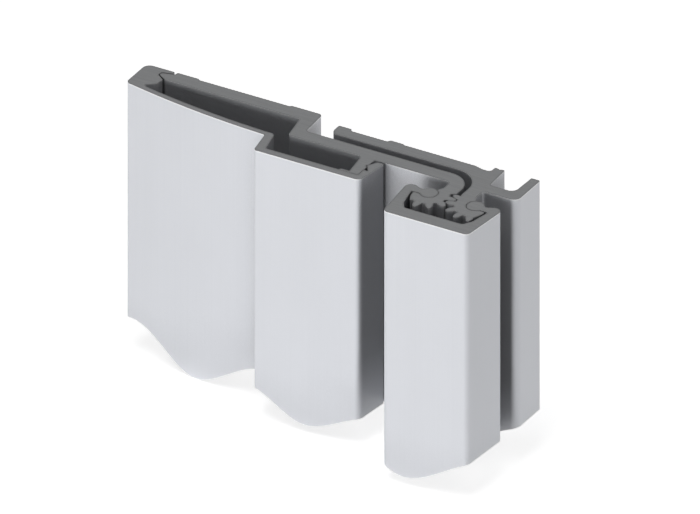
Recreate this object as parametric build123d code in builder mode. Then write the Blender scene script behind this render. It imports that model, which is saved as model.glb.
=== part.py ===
"""Continuous geared hinge, full surface type: a short sample cut from the long
extrusions, with a square top and a wavy lower end.

The frame leaf carries the frame gear segment, the door leaf the door gear
segment, and a cap with two round-ended lips holds the segments in mesh. A hollow
cover clips over the door leaf, and a plastic thrust bearing sits in a notch
milled in both segments. Millimetres, +Z up along the hinge, -Y towards the room.
The origin is the middle of the frame leaf's two screw holes, on the plate's back
between its pads.
"""
import os
from math import acos, cos, pi, radians, sin, tan

from build123d import *

# Length of the sample and its wavy lower cut
top_z = 36.0
mean_length = 71.5
# points of the wavy cut: x, and the height over the mean length's end
wave_points = [
    (-77.3, -5.6),
    (-58.5, 2.4),
    (-44.7, -5.8),
    (-23.2, 3.2),
    (-7.8, -3.7),
    (13.5, 2.7),
    (25.3, -3.4),
    (45.7, 4.8),
    (65.1, -2.8),
]
waste_length = 9.0
cut_reach = 60.0

# Gear segments: 12 teeth to the full circle, the two pitch circles touching
gear_module = 1.12
full_teeth = 12
pressure_angle = radians(25)
tooth_height = 1.04
root_depth = 1.28
backlash = 0.12
tip_rounding = 0.2
root_rounding = 0.25
tooth_sink = 0.4
neck_corner_r = 4.3
end_angle = -112
end_reach = 3.7
end_play = 0.63
lip_play = 0.28
end_step = 2.0
end_rounding = 0.6
end_inset = 0.45
end_foot = 1.35
hinge_x = 33.7
axis_y = -16.95

# Round lips of the cap and the grooves that run on them
rod_r = 2.3
groove_clearance = 0.14
hook_angle = 62.0

# Levels of the leaves, front to back
strip_front_y = -9.7
edge_rounding = 0.3
pad_slope = 0.5
strip_thickness = 4.05
leaf_gap = 2.35
plate_thickness = 3.3
pad_height = 0.85
door_face_y = 3.5
door_plate_thickness = 4.15
door_pad_height = 0.45

# Frame leaf across
plate_reach = 9.25
frame_pad_width = 3.6
rib_reach = 1.25
rib_offset = 1.35
rib_width = 2.85
rib_lean = 0.4
rib_groove_depth = 0.3
rib_groove_inset = 0.8
channel_width = 7.4
channel_flare = 0.25
channel_rounding = 2.0
wing_width = 2.85
wing_rounding = 2.0
web_thickness = 3.6
neck_gap = 1.25
neck_offset = 0.4
neck_tail = 2.9
neck_root = 5.0
neck_corner = 0.6
neck_outer_r = 7.15
neck_inner_r = 6.15
pocket_offset = 4.72
pocket_rounding = 1.25
plate_end_rounding = 1.75
neck_back_height = 0.5
drip_depth = 0.65
drip_width = 2.3
drip_slope = 2.5

# Door leaf across, from the hinge to the free edge
hook_rib_offset = 26.6
hook_rib_width = 2.75
hook_rib_flare = 1.1
hook_rib_length = 8.4
foot_reach = 2.6
foot_height = 0.6
clip_offset = 2.8
clip_height = 1.1
clip_slope = 0.2
block_width = 25.0
step_lean = 1.5
step_thickness = 4.0
door_plate_width = 38.9
door_pad_width = 6.0
step_pad_width = 9.0
tongue_reach = 2.6
tongue_front = 1.6
tongue_width = 0.9
tongue_neck = 0.7
tongue_clearance = 0.3
edge_pad_offset = 1.0

# Clip-on cover of the door leaf
cover_wall = 1.6
block_wall = 2.2
block_corner = 1.75
side_wall = 2.75
cover_flare = 1.35
fit_gap = 0.1
cover_step_gap = 1.6
cover_step_wall = 1.95
crown_x = -14.05
crown_front_y = -12.65
crown_drop = 5.75
crown_end_gap = 3.55
crown_inset = 2.4
nose_reach = 8.0
nose_corner = 2.0
nose_front_corner = 1.6
nose_front_length = 2.1
nose_wall_end = 4.6
lip_length = 2.2
clip_depth = 0.5
clip_bead = 0.35
clip_relief = 1.3
clip_relief_length = 1.85
wall_end_gap = 0.6

# Cap over the gears
cap_front_y = -30.65
cap_front_wall = 4.1
cap_flare = 1.55
cap_back_y = -15.3
cap_corner = 1.5
lip_corner = 1.75
lip_front_y = -18.25
lip_neck_y = -16.15
cap_side_wall = 1.2
cap_side_lean = 1.2
lip_neck_offset = 2.55
lip_overlap = 0.8

# Screw holes and the bearing
screw_r = 2.6
screw_head_r = 4.8
screw_angle = 90
screw_spacing = 40.0
door_screw_x = -38.0
overrun = 2.0
bearing_height = 12.0
bearing_play = 0.1
bearing_clearance = 0.15

# Derived levels and places
pitch_r = gear_module * full_teeth / 2
base_r = pitch_r * cos(pressure_angle)
tip_r = pitch_r + tooth_height
root_r = pitch_r - root_depth
door_axis = (hinge_x - pitch_r, axis_y)
frame_axis = (hinge_x + pitch_r, axis_y)
groove_r = rod_r + groove_clearance
strip_back_y = strip_front_y + strip_thickness
plate_front_y = strip_back_y + leaf_gap
relief_y = plate_front_y + plate_thickness
frame_face_y = relief_y + pad_height
neck_back_y = relief_y + neck_back_height
door_relief_y = door_face_y - door_pad_height
door_plate_y = door_relief_y - door_plate_thickness
stock_bottom_z = top_z - mean_length - waste_length
stock_length = top_z - stock_bottom_z
rib_x = hinge_x - hook_rib_offset
rib_front_y = strip_front_y - hook_rib_length
step_x = rib_x - block_width
plate_edge_x = step_x - step_lean - door_plate_width
block_inner_y = rib_front_y - fit_gap
block_front_y = block_inner_y - block_wall
cap_floor_y = cap_front_y + cap_front_wall
cap_inner_half = pitch_r + end_reach + end_play
cap_half_width = cap_inner_half + cap_side_wall
nose_x = plate_edge_x - nose_reach
crown_width = crown_x - nose_x
crown_r = (crown_width**2 + crown_drop**2) / (2 * crown_drop)


def involute(angle):
    """Involute function of an angle in radians."""
    return tan(angle) - angle


def tooth_point(radius, side, spread=0.0):
    """A point of a tooth's flank, for a tooth centred on +X about the origin.

    Below the base circle the flank is radial; spread widens it along the circle.
    """
    half_angle = (pi * gear_module / 2 - backlash / 2) / (2 * pitch_r)
    profile_angle = acos(min(1.0, base_r / radius))
    half_angle += involute(pressure_angle) - involute(profile_angle) + spread / radius
    return (radius * cos(half_angle), side * radius * sin(half_angle))


def around(axis, radius, angle):
    """A point at a radius and an angle in degrees about a gear's axis."""
    return (axis[0] + radius * cos(radians(angle)), axis[1] + radius * sin(radians(angle)))


def crown_y(x, inset=0.0):
    """The cover's crowned front face, or the line a wall's thickness behind it."""
    radius = crown_r - inset
    return crown_front_y + crown_r - (radius**2 - (x - crown_x) ** 2) ** 0.5


def crown_arc(left_x, right_x, inset=0.0):
    """A stretch of the crowned face, or of the line behind it."""
    middle_x = (left_x + right_x) / 2
    return ThreePointArc(*[(x, crown_y(x, inset)) for x in (left_x, middle_x, right_x)])


def mirrored(corners):
    """Corners of the hinge's other half, in turning order."""
    return [(2 * hinge_x - x, y, radius) for x, y, radius in reversed(corners)]


def outline(corners):
    """A closed outline from corners (x, y, rounding)."""
    with BuildLine() as path:
        FilletPolyline(
            *[(x, y) for x, y, radius in corners],
            radius=[radius for x, y, radius in corners],
            close=True,
        )
    return path.edges()


# One gear tooth about the origin, its root rounded into the hub
with BuildSketch() as gear_tooth:
    with BuildLine():
        arc_middle = root_rounding * (1 - 0.5**0.5)
        for side in (-1, 1):
            foot = tooth_point(root_r, side, root_rounding)
            Line(tooth_point(root_r - tooth_sink, side, root_rounding), foot)
            ThreePointArc(
                foot,
                tooth_point(root_r + arc_middle, side, arc_middle),
                tooth_point(root_r + root_rounding, side),
            )
            Line(tooth_point(root_r + root_rounding, side), tooth_point(base_r, side))
            ThreePointArc(
                tooth_point(base_r, side), tooth_point(pitch_r, side), tooth_point(tip_r, side)
            )
        ThreePointArc(tooth_point(tip_r, -1), (tip_r, 0), tooth_point(tip_r, 1))
        Line(
            tooth_point(root_r - tooth_sink, -1, root_rounding),
            tooth_point(root_r - tooth_sink, 1, root_rounding),
        )
    make_face()
    fillet(gear_tooth.vertices().group_by(Axis.X)[-1], radius=tip_rounding)

# The wavy cut: everything below the wave, right through from front to back
with BuildPart() as wave_cut:
    with BuildSketch(Plane.XZ):
        with BuildLine():
            wave = Spline(*[(x, top_z - mean_length + height) for x, height in wave_points])
            below_z = stock_bottom_z - waste_length
            Polyline(wave @ 1, ((wave @ 1).X, below_z), ((wave @ 0).X, below_z), wave @ 0)
        make_face()
    extrude(amount=cut_reach, both=True)

# The slot milled in both gear segments for the bearing
with BuildPart() as bearing_slot:
    with BuildSketch(Plane.XY.offset(-bearing_height / 2 - bearing_play)):
        with Locations((hinge_x, axis_y + bearing_play)):
            Rectangle(4 * pitch_r, 3 * pitch_r, align=(Align.CENTER, Align.MAX))
    extrude(amount=bearing_height + 2 * bearing_play)

# Hub of a gear segment about the origin, as on the door side: the root circle open
# towards the lip, and the solid end beside the cap's wall
end_x = -end_reach
end_top_y = lip_front_y - lip_play - axis_y
with BuildSketch() as gear_hub:
    Circle(root_r)
    with BuildLine():
        Polyline(
            (0, 0),
            around((0, 0), 2 * root_r, hook_angle),
            around((0, 0), 2 * root_r, 180),
            around((0, 0), 2 * root_r, end_angle),
            close=True,
        )
    make_face(mode=Mode.SUBTRACT)
    make_face(
        outline(
            [
                (0, end_top_y, 0),
                (end_x, end_top_y, end_rounding),
                (end_x + end_inset, end_top_y - end_step, 0.5),
                (end_x + end_foot, end_top_y - 2 * end_step, 0.2),
                (*around((0, 0), root_r, end_angle), 0),
                (0, end_top_y - end_step, 0),
            ]
        )
    )

# Frame leaf: plate, neck with the frame gear segment, web, rib and wing
rib_left_x = hinge_x + rib_offset
rib_right_x = rib_left_x + rib_width
wing_left_x = rib_right_x + channel_width
wing_right_x = wing_left_x + wing_width
floor_y = strip_front_y + web_thickness
door_inner_x = hinge_x - neck_offset
frame_inner_x = door_inner_x + neck_gap
neck_end_y = axis_y + neck_tail
pad_inner_x = plate_reach - frame_pad_width
rib_back_y = frame_face_y + rib_reach
drip_x = rib_left_x - drip_width
with BuildPart() as frame_leaf:
    with BuildSketch(Plane.XY.offset(stock_bottom_z)):
        make_face(
            outline(
                [
                    (-plate_reach, frame_face_y, edge_rounding),
                    (-plate_reach, plate_front_y, plate_end_rounding),
                    (frame_inner_x, plate_front_y, neck_outer_r),
                    (frame_inner_x, neck_end_y, 0),
                    (frame_inner_x + neck_corner, neck_end_y - neck_corner, 0),
                    (*frame_axis, 0),
                    (*around(frame_axis, neck_corner_r, 180 - hook_angle), 0.4),
                    (hinge_x + pocket_offset, strip_front_y, pocket_rounding),
                    (wing_right_x, strip_front_y, wing_rounding),
                    (wing_right_x, rib_back_y, 0.5),
                    (wing_left_x + channel_flare, rib_back_y, edge_rounding),
                    (wing_left_x, floor_y, channel_rounding),
                    (rib_right_x + rib_lean, floor_y, 0.8),
                    (rib_right_x, rib_back_y, edge_rounding),
                    (rib_right_x - rib_groove_inset, rib_back_y, 0),
                    (rib_right_x - rib_width / 2, rib_back_y - rib_groove_depth, 0),
                    (rib_left_x + rib_groove_inset, rib_back_y, 0),
                    (rib_left_x, rib_back_y, edge_rounding),
                    (rib_left_x, neck_back_y - drip_depth, 1.0),
                    (drip_x, neck_back_y - drip_depth, 1.5),
                    (drip_x - drip_slope, neck_back_y, 2.0),
                    (plate_reach + pad_slope, neck_back_y, edge_rounding),
                    (plate_reach, frame_face_y, edge_rounding),
                    (pad_inner_x, frame_face_y, edge_rounding),
                    (pad_inner_x - pad_slope, relief_y, edge_rounding),
                    (pad_slope - pad_inner_x, relief_y, edge_rounding),
                    (-pad_inner_x, frame_face_y, edge_rounding),
                ]
            )
        )
        with Locations(frame_axis):
            add(mirror(gear_hub.sketch, about=Plane.YZ, mode=Mode.PRIVATE))
        for angle in (165, 195, 225, 255, 285):
            with Locations(Location((*frame_axis, 0), (0, 0, angle))):
                add(gear_tooth.sketch)
        with Locations(frame_axis):
            Circle(groove_r, mode=Mode.SUBTRACT)
    extrude(amount=stock_length)
    add(wave_cut.part, mode=Mode.SUBTRACT)
    add(bearing_slot.part, mode=Mode.SUBTRACT)
    with Locations(Plane((0, plate_front_y, 0), x_dir=(1, 0, 0), z_dir=(0, -1, 0))):
        with GridLocations(1, screw_spacing, 1, 2):
            CounterSinkHole(screw_r, screw_head_r, plate_thickness + overrun, screw_angle)
frame_leaf.part.label = "frame_leaf"

# Door leaf: back plate, step, strip with the hook rib, gooseneck and gear segment
tongue_x = plate_edge_x - tongue_reach
step_top_x = step_x - step_lean
step_back_x = step_top_x + step_thickness
rib_left_front_x = rib_x - hook_rib_width
foot_x = rib_left_front_x - foot_reach
clip_y = strip_front_y - clip_offset
edge_pad_x = plate_edge_x + edge_pad_offset
step_pad_x = step_back_x - step_pad_width
with BuildPart() as door_leaf:
    with BuildSketch(Plane.XY.offset(stock_bottom_z)):
        make_face(
            outline(
                [
                    (*door_axis, 0),
                    (*around(door_axis, neck_corner_r, hook_angle), 0.4),
                    (hinge_x - pocket_offset, strip_front_y, pocket_rounding),
                    (rib_x, strip_front_y, edge_rounding),
                    (rib_x, clip_y, 0),
                    (rib_x - clip_depth, clip_y - clip_slope, 0),
                    (rib_x - clip_depth, clip_y - clip_height + clip_slope, 0),
                    (rib_x, clip_y - clip_height, 0),
                    (rib_x, rib_front_y, 0),
                    (foot_x, rib_front_y, 0),
                    (foot_x, rib_front_y + foot_height, edge_rounding),
                    (rib_left_front_x, rib_front_y + foot_height, 0.2),
                    (rib_left_front_x - hook_rib_flare, strip_front_y, 1.3),
                    (step_x, strip_front_y, 1.0),
                    (step_top_x, door_plate_y, 0.7),
                    (plate_edge_x, door_plate_y, 0.2),
                    (tongue_x, door_plate_y + tongue_front, edge_rounding),
                    (tongue_x + 0.1, door_plate_y + tongue_front + tongue_width, edge_rounding),
                    (plate_edge_x + tongue_neck, door_relief_y - tongue_neck, 0.2),
                    (edge_pad_x, door_face_y, edge_rounding),
                    (edge_pad_x + door_pad_width, door_face_y, edge_rounding),
                    (edge_pad_x + door_pad_width + door_pad_height, door_relief_y, edge_rounding),
                    (step_pad_x - door_pad_height, door_relief_y, edge_rounding),
                    (step_pad_x, door_face_y, edge_rounding),
                    (step_back_x - 0.1, door_face_y, 1.2),
                    (step_back_x + 0.4, strip_back_y, 0.9),
                    (door_inner_x, strip_back_y, neck_inner_r),
                    (door_inner_x, neck_end_y, edge_rounding),
                    (door_axis[0] + neck_root, neck_end_y - 0.8, 0),
                ]
            )
        )
        with Locations(door_axis):
            add(gear_hub.sketch)
        for angle in (0, -30, -60, -90):
            with Locations(Location((*door_axis, 0), (0, 0, angle))):
                add(gear_tooth.sketch)
        with Locations(door_axis):
            Circle(groove_r, mode=Mode.SUBTRACT)
    extrude(amount=stock_length)
    add(wave_cut.part, mode=Mode.SUBTRACT)
    add(bearing_slot.part, mode=Mode.SUBTRACT)
    with Locations(Plane((door_screw_x, door_plate_y, 0), x_dir=(1, 0, 0), z_dir=(0, -1, 0))):
        with GridLocations(1, screw_spacing, 1, 2):
            CounterSinkHole(screw_r, screw_head_r, door_plate_thickness + overrun, screw_angle)
door_leaf.part.label = "door_leaf"

# Hollow cover: nose that hooks round the plate's edge, crowned front, stepped block
cover_step_x = step_x - cover_step_gap
wall_x = rib_x + fit_gap
crown_left_x = plate_edge_x - crown_inset
clip_rounding = [0.1, 0, 0.05, 0.05, 0.05, 0.15, 0.1]
crown_right_x = cover_step_x - crown_end_gap
wall_end_y = strip_front_y - wall_end_gap
wall_front_x = wall_x + side_wall
lip_y = door_face_y - 0.05
with BuildPart() as door_leaf_cover:
    with BuildSketch(Plane.XY.offset(stock_bottom_z)):
        with BuildLine():
            front = crown_arc(nose_x + nose_front_length, crown_right_x - 1.2)
            back = crown_arc(crown_left_x, crown_right_x - 0.2, cover_wall)
            FilletPolyline(
                front @ 1,
                (crown_right_x, crown_y(crown_right_x)),
                (crown_right_x + cover_flare, block_front_y),
                (wall_front_x - 1.1, block_front_y),
                (wall_front_x + 0.3, wall_end_y),
                (wall_x + 1.0, wall_end_y),
                (wall_x, clip_y + 0.1),
                (wall_x, clip_y - 0.1),
                (wall_x - clip_bead, clip_y - 0.1 - clip_slope),
                (wall_x - clip_bead, clip_y - clip_height + 0.1 + clip_slope),
                (wall_x, clip_y - clip_height + 0.1),
                (wall_x + clip_relief, clip_y - clip_height - clip_relief_length),
                (wall_x, clip_y - clip_height - clip_relief_length + 0.3),
                (wall_x, block_inner_y),
                (cover_step_x, block_inner_y),
                (crown_right_x + cover_step_wall, crown_y(crown_right_x, cover_wall)),
                back @ 1,
                radius=[0.8, 1.0, block_corner, 0.5, 0.8, *clip_rounding, 0.2, 0.6, 1.3],
            )
            FilletPolyline(
                back @ 0,
                (crown_left_x - 0.9, door_plate_y - nose_wall_end),
                (plate_edge_x - 1.6, door_plate_y - lip_length - 1.0),
                (plate_edge_x - 0.8, door_plate_y - lip_length),
                (plate_edge_x - 0.6, door_plate_y - tongue_clearance),
                (tongue_x - tongue_clearance, door_plate_y + tongue_front - 0.1),
                (tongue_x - 0.1, door_plate_y + tongue_front + tongue_width + 0.4),
                (plate_edge_x + 0.4, door_relief_y - 0.4),
                (plate_edge_x + 0.2, lip_y),
                (nose_x, lip_y),
                (nose_x, crown_y(nose_x) - 0.2),
                front @ 0,
                radius=[0.4, 0.5, 0.5, 0.4, 0.3, 0.3, 0.2, 0.6, nose_corner, nose_front_corner],
            )
        make_face()
    extrude(amount=stock_length)
    add(wave_cut.part, mode=Mode.SUBTRACT)
door_leaf_cover.part.label = "door_leaf_cover"

# Cap: flared sides, back lips that end in the two round rods
cap_side = [
    (hinge_x + cap_half_width, cap_front_y, cap_corner),
    (hinge_x + cap_half_width + cap_flare, cap_back_y, lip_corner),
    (hinge_x + cap_half_width - 0.8, cap_back_y, 0.7),
    (hinge_x + cap_half_width - lip_neck_offset, lip_neck_y, 0.2),
    (frame_axis[0] + lip_overlap, lip_neck_y, 0),
    (frame_axis[0] + lip_overlap, lip_front_y, 0),
    (hinge_x + cap_inner_half, lip_front_y, 0.3),
    (hinge_x + cap_inner_half - cap_side_lean, cap_floor_y + 2.3, 1.5),
    (hinge_x + cap_inner_half - cap_side_lean - 1.5, cap_floor_y, 1.0),
]
with BuildPart() as cap:
    with BuildSketch(Plane.XY.offset(stock_bottom_z)):
        make_face(outline(cap_side + mirrored(cap_side)))
        with Locations(frame_axis, door_axis):
            Circle(rod_r)
    extrude(amount=stock_length)
    add(wave_cut.part, mode=Mode.SUBTRACT)
cap.part.label = "cap"

# Thrust bearing: fills the cap between its floor and the rods, in the milled slot
bearing_side = [
    (hinge_x + cap_inner_half - cap_side_lean - 1.5, cap_floor_y + bearing_clearance, 1.0),
    (hinge_x + cap_inner_half - cap_side_lean - 0.2, cap_floor_y + 2.4, 1.5),
    (hinge_x + cap_inner_half - 0.3, lip_front_y - bearing_clearance, 0.3),
    (frame_axis[0], lip_front_y - bearing_clearance, 0),
    (frame_axis[0], axis_y - bearing_play, 0),
]
with BuildPart() as thrust_bearing:
    with BuildSketch(Plane.XY.offset(-bearing_height / 2)):
        make_face(outline(bearing_side + mirrored(bearing_side)))
        with Locations(frame_axis, door_axis):
            Circle(rod_r + bearing_clearance, mode=Mode.SUBTRACT)
    extrude(amount=bearing_height)
thrust_bearing.part.label = "thrust_bearing"

os.makedirs("parts", exist_ok=True)
for piece in (frame_leaf, door_leaf, door_leaf_cover, cap, thrust_bearing):
    export_step(piece.part, f"parts/{piece.part.label}.step")
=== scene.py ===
# Looks of the continuous geared hinge sample. Metres, +Z up the hinge, -Y towards the room.
from math import cos, radians, sin

import bpy
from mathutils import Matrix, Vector


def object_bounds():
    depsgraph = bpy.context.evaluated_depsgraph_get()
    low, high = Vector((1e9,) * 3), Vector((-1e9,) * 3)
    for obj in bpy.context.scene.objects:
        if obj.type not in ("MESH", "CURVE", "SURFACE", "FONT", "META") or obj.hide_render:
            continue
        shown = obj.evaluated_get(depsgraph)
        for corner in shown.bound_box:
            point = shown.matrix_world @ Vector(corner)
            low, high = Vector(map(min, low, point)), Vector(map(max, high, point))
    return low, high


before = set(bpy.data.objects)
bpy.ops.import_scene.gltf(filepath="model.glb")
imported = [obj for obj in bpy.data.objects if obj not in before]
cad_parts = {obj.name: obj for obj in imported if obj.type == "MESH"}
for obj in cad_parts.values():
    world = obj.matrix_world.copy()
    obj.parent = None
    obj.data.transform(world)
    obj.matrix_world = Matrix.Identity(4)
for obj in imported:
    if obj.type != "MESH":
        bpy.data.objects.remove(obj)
cadLow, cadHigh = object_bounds()
print("frame loaded:", ", ".join(sorted(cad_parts)))

# Camera: the photograph's view, a parallel one
view = {
    "azimuth": 30,
    "elevation": 30,
    "distance": 0.7,
    "frameWidth": 0.175,
    "target": (0.01726, -0.03963, 0.02593),  # the middle of the picture
}


# Cameras and lamps look along their own -Z
def aimAlong(thing, direction):
    thing.rotation_euler = direction.to_track_quat("-Z", "Y").to_euler()


around, above = radians(view["azimuth"]), radians(view["elevation"])
towardsCamera = Vector((sin(around) * cos(above), -cos(around) * cos(above), sin(above)))
bpy.ops.object.camera_add(location=Vector(view["target"]) + towardsCamera * view["distance"])
camera = bpy.context.object
camera.name = "productCamera"
aimAlong(camera, -towardsCamera)
camera.data.type = "ORTHO"
camera.data.ortho_scale = view["frameWidth"]
bpy.context.scene.camera = camera
print("camera placed")


# A node with its settings; each input is set to a value or linked to a socket
def addNode(tree, kind, inputs=None, **settings):
    node = tree.nodes.new(kind)
    for name, value in settings.items():
        setattr(node, name, value)
    for name, value in (inputs or {}).items():
        if isinstance(value, bpy.types.NodeSocket):
            tree.links.new(value, node.inputs[name])
        else:
            node.inputs[name].default_value = value
    return node


def mathNode(tree, operation, *terms, clamp=False):
    settings = {"operation": operation, "use_clamp": clamp}
    return addNode(tree, "ShaderNodeMath", dict(enumerate(terms)), **settings).outputs[0]


# Where a Mix node of each type takes its two inputs and gives its result
mixSockets = {"FLOAT": (2, 3, 0), "RGBA": (6, 7, 2)}


def mixNode(tree, dataType, factor, first, second):
    firstSocket, secondSocket, result = mixSockets[dataType]
    inputs = {0: factor, firstSocket: first, secondSocket: second}
    return addNode(tree, "ShaderNodeMix", inputs, data_type=dataType).outputs[result]


def mixColour(tree, factor, first, second):
    first, second = [(*c, 1) if isinstance(c, tuple) else c for c in (first, second)]
    return mixNode(tree, "RGBA", factor, first, second)


# Fine noise on Object coordinates: grain gives its repeats per metre along X, Y and Z
def grainNoise(tree, place, grain, detail=2.0, roughness=0.5):
    mapping = addNode(tree, "ShaderNodeMapping", {"Vector": place, "Scale": grain})
    inputs = {"Vector": mapping.outputs[0], "Scale": 1.0, "Detail": detail, "Roughness": roughness}
    return addNode(tree, "ShaderNodeTexNoise", inputs).outputs["Fac"]


# Noise from 0 to 1 becomes a value that varies by spread about its middle
def vary(tree, noise, middle, spread):
    return mathNode(tree, "MULTIPLY_ADD", noise, spread, middle - 0.5 * spread)


def newMaterial(name):
    material = bpy.data.materials.new(name)
    material.use_nodes = True
    return material, material.node_tree, material.node_tree.nodes["Principled BSDF"]


def giveMaterial(node, material):
    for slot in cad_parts[node].material_slots:
        slot.material = material


satinAluminium = {
    "metal": 0.28,
    # drawn faces, with die lines up the length
    "light": (0.795, 0.81, 0.85),
    "dark": (0.655, 0.67, 0.705),
    "dieLines": {"grain": (2600, 2600, 14), "detail": 3.0, "roughness": 0.6},
    "lineTone": 0.25,
    "mottle": {"grain": (90, 90, 30)},
    "mottleTone": 0.2,
    "gloss": {"middle": 0.42, "spread": 0.12},
    # sawn ends, which begin and are full at these shares of facing up or down; their saw marks and
    # gloss are their own, and their much darker tone is partly painted shade on the faces that
    # face up and down
    "sawnFrom": 0.5,
    "sawnFull": 0.625,
    "sawnLight": (0.30, 0.305, 0.31),
    "sawnDark": (0.20, 0.205, 0.21),
    "sawMarks": {"grain": (120, 2400, 120), "roughness": 0.55},
    "sawnGloss": {"middle": 0.5, "spread": 0.2},
    # edges: a painted highlight on drawn faces and a painted dark rim of shade round sawn ends
    "edgeRadius": 0.0008,
    "edgeSamples": 6,
    "edgeGain": 20.0,
    "edgeStart": 0.3,
    "paintedHighlightTone": 0.8,
    "paintedEdgeColour": (1.0, 1.0, 1.0),
    "paintedRimShadeTone": 0.45,
    "paintedRimShadeColour": (0.1, 0.1, 0.105),
    # painted shade in hollows, fine gaps and open corners: how far each looks round, the blocked
    # shares at which its painted shade begins and is full, and how much of the shade it takes at
    # most
    "shades": [
        {"reach": 0.03, "from": 0.2, "full": 0.5, "most": 0.6, "colour": (0.115, 0.115, 0.12)},
        {"reach": 0.003, "from": 0.5, "full": 1.0, "most": 0.55, "colour": (0.02, 0.02, 0.022)},
        {"reach": 0.012, "from": 0.05, "full": 0.3, "most": 0.2, "colour": (0.3, 0.3, 0.31)},
    ],
    "shadeSamples": 8,
    "openEnd": 0.025,  # over this height the shades fade in from the lower end
    "reliefStrength": 0.25,
    "relief": 0.00003,
}


# 1 on the sawn ends, which face up or down, else 0
def sawnMask(tree, normal, finish):
    upness = addNode(tree, "ShaderNodeSeparateXYZ", {0: normal}).outputs["Z"]
    upness = mathNode(tree, "ABSOLUTE", upness)
    gain = 1 / (finish["sawnFull"] - finish["sawnFrom"])
    return mathNode(tree, "MULTIPLY_ADD", upness, gain, -gain * finish["sawnFrom"], clamp=True)


# 1 along an edge, where the softened normal leaves the face's own, else 0; it places the painted
# edge highlight and the painted dark rim
def edgeMask(tree, finish):
    radius = {"Radius": finish["edgeRadius"]}
    softened = addNode(tree, "ShaderNodeBevel", radius, samples=finish["edgeSamples"])
    own = addNode(tree, "ShaderNodeNewGeometry")
    normals = {0: softened.outputs[0], 1: own.outputs["Normal"]}
    facing = addNode(tree, "ShaderNodeVectorMath", normals, operation="DOT_PRODUCT")
    turned = mathNode(tree, "SUBTRACT", 1.0, facing.outputs["Value"])
    terms = (turned, finish["edgeGain"], -finish["edgeStart"])
    return mathNode(tree, "MULTIPLY_ADD", *terms, clamp=True)


# Painted shade: the colour darkens in hollows and corners, darkest in the gaps, less so at the
# open lower end
def paintShadeInHollows(tree, place, colour, finish):
    height = addNode(tree, "ShaderNodeSeparateXYZ", {0: place}).outputs["Z"]
    openEnd = {"Value": height, "From Min": cadLow.z, "From Max": cadLow.z + finish["openEnd"]}
    fade = addNode(tree, "ShaderNodeMapRange", openEnd).outputs[0]
    samples = finish["shadeSamples"]
    for shade in finish["shades"]:
        distance = {"Distance": shade["reach"]}
        openness = addNode(tree, "ShaderNodeAmbientOcclusion", distance, samples=samples)
        paintedShadeRange = {
            "Value": openness.outputs["AO"],
            "From Min": 1 - shade["from"],
            "From Max": 1 - shade["full"],
            "To Max": shade["most"],
        }
        share = addNode(tree, "ShaderNodeMapRange", paintedShadeRange, interpolation_type="SMOOTHSTEP")
        share = mathNode(tree, "MULTIPLY", share.outputs[0], fade)
        colour = mixColour(tree, share, colour, shade["colour"])
    return colour


def addRelief(tree, shader, height, finish):
    relief = {"Height": height, "Strength": finish["reliefStrength"], "Distance": finish["relief"]}
    bump = addNode(tree, "ShaderNodeBump", relief)
    tree.links.new(bump.outputs[0], shader.inputs["Normal"])


# Satin anodised extrusion: die lines up the length, sawn ends with saw marks in a darker tone that
# is partly painted shade, a painted highlight line at each edge, a painted dark rim round the sawn
# ends, and painted shade in hollows and gaps
def makeExtrusionFinish(name, finish):
    material, tree, shader = newMaterial(name)
    shader.inputs["Metallic"].default_value = finish["metal"]
    coordinates = addNode(tree, "ShaderNodeTexCoord").outputs
    place = coordinates["Object"]
    dieLines = grainNoise(tree, place, **finish["dieLines"])
    mottle = grainNoise(tree, place, **finish["mottle"])
    sawMarks = grainNoise(tree, place, **finish["sawMarks"])
    sawn = sawnMask(tree, coordinates["Normal"], finish)
    drawn = mathNode(tree, "SUBTRACT", 1.0, sawn)
    edge = edgeMask(tree, finish)

    # colour
    tint = vary(tree, dieLines, 0.5, finish["lineTone"])
    tint = mathNode(tree, "MULTIPLY_ADD", mottle, finish["mottleTone"], tint, clamp=True)
    drawnColour = mixColour(tree, tint, finish["dark"], finish["light"])
    # sawn ends: saw marks over a darker tone that is partly painted shade on the faces that face
    # up and down
    sawnColour = mixColour(tree, sawMarks, finish["sawnDark"], finish["sawnLight"])
    colour = mixColour(tree, sawn, drawnColour, sawnColour)
    # painted highlight along the drawn edges, and painted shade as a dark rim round the sawn ends
    for part, tone, paintedEdgeColour in (
        (drawn, finish["paintedHighlightTone"], finish["paintedEdgeColour"]),
        (sawn, finish["paintedRimShadeTone"], finish["paintedRimShadeColour"]),
    ):
        share = mathNode(tree, "MULTIPLY", mathNode(tree, "MULTIPLY", edge, part), tone)
        colour = mixColour(tree, share, colour, paintedEdgeColour)
    # painted shade in the hollows, gaps and corners
    colour = paintShadeInHollows(tree, place, colour, finish)
    tree.links.new(colour, shader.inputs["Base Color"])

    # gloss and relief
    drawnGloss = vary(tree, dieLines, **finish["gloss"])
    sawnGloss = vary(tree, sawMarks, **finish["sawnGloss"])
    gloss = mixNode(tree, "FLOAT", sawn, drawnGloss, sawnGloss)
    tree.links.new(gloss, shader.inputs["Roughness"])
    addRelief(tree, shader, mixNode(tree, "FLOAT", sawn, dieLines, sawMarks), finish)
    return material


aluminiumPieces = {
    "frame_leaf": "frameLeafAluminium",
    "door_leaf": "doorLeafAluminium",
    "door_leaf_cover": "coverAluminium",
    "cap": "capAluminium",
}
for node, name in aluminiumPieces.items():
    giveMaterial(node, makeExtrusionFinish(name, satinAluminium))
print("aluminium finishes set")

acetal = {
    "light": (0.78, 0.77, 0.72),
    "dark": (0.66, 0.65, 0.6),
    "speck": {"grain": (900, 900, 900), "detail": 3.0},
    "gloss": {"middle": 0.45, "spread": 0.2},
    "milkiness": 0.15,
    "milkDepth": 0.002,
    "reliefStrength": 0.15,
    "relief": 0.00003,
}


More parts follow.
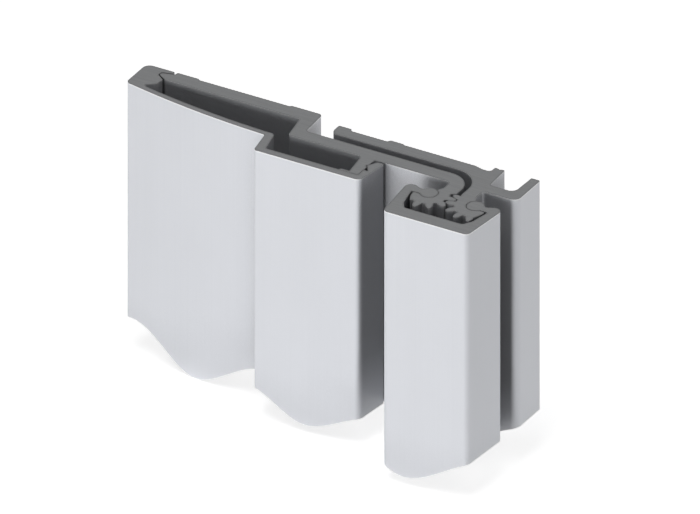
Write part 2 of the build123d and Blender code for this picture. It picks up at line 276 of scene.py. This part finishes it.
# Machined natural acetal, faintly milky
def makeAcetal(name, finish):
    material, tree, shader = newMaterial(name)
    place = addNode(tree, "ShaderNodeTexCoord").outputs["Object"]
    speck = grainNoise(tree, place, **finish["speck"])
    colour = mixColour(tree, speck, finish["dark"], finish["light"])
    tree.links.new(colour, shader.inputs["Base Color"])
    tree.links.new(vary(tree, speck, **finish["gloss"]), shader.inputs["Roughness"])
    shader.inputs["Subsurface Weight"].default_value = finish["milkiness"]
    shader.inputs["Subsurface Scale"].default_value = finish["milkDepth"]
    addRelief(tree, shader, speck, finish)
    return material


giveMaterial("thrust_bearing", makeAcetal("bearingAcetal", acetal))
print("bearing finish set")

# Floor, world and lamps
studio = {
    "floorSize": 6,
    "floorColour": (0.9, 0.9, 0.9, 1),
    "floorRoughness": 0.9,
    "floorLift": 0.72,  # the glow that brings the floor to white where it is seen
    "white": (1, 1, 1, 1),
    "worldLevel": 0.08,
}


# 1 where the camera, a reflection or a clear piece looks at a surface, else 0
def seenShare(tree):
    rays = addNode(tree, "ShaderNodeLightPath").outputs
    seen = mathNode(tree, "MAXIMUM", rays["Is Camera Ray"], rays["Is Glossy Ray"])
    return mathNode(tree, "MAXIMUM", seen, rays["Is Transmission Ray"])


bpy.ops.object.select_all(action="DESELECT")
bpy.ops.mesh.primitive_plane_add(size=studio["floorSize"], location=(0, 0, cadLow.z))
floor = bpy.context.object
floor.name = "studioFloor"
floorMaterial, tree, shader = newMaterial("paleFloor")
shader.inputs["Base Color"].default_value = studio["floorColour"]
shader.inputs["Roughness"].default_value = studio["floorRoughness"]
shader.inputs["Specular IOR Level"].default_value = 0
shader.inputs["Emission Color"].default_value = studio["white"]
lift = mathNode(tree, "MULTIPLY", seenShare(tree), studio["floorLift"])
tree.links.new(lift, shader.inputs["Emission Strength"])
floor.data.materials.append(floorMaterial)

world = bpy.data.worlds.new("paleRoom")
bpy.context.scene.world = world
world.use_nodes = True
tree = world.node_tree
background = tree.nodes["Background"]
background.inputs["Color"].default_value = studio["white"]
# full white where it is seen, dim as a light
level = mathNode(
    tree, "MULTIPLY_ADD", seenShare(tree), 1 - studio["worldLevel"], studio["worldLevel"]
)
tree.links.new(level, background.inputs["Strength"])

lamps = {
    "keyLamp": {"place": (-0.2, -1.1, 0.05), "size": 0.45, "watts": 7.0},
    "sideLamp": {"place": (0.95, 0.1, 0.2), "size": 0.6, "watts": 1.05},
    "overheadLamp": {"place": (0.0, -0.35, 1.0), "size": 0.6, "watts": 2.85},
    "backLamp": {"place": (0.2, 1.1, 0.3), "size": 0.6, "watts": 2.5},
}
middle = (cadLow + cadHigh) / 2
for name, lamp in lamps.items():
    bpy.ops.object.light_add(type="AREA", location=lamp["place"])
    light = bpy.context.object
    light.name = name
    light.data.shape = "DISK"
    light.data.size = lamp["size"]
    light.data.energy = lamp["watts"]
    aimAlong(light, middle - Vector(lamp["place"]))
bpy.context.scene.view_settings.view_transform = "Standard"
print("floor, world and lamps set")
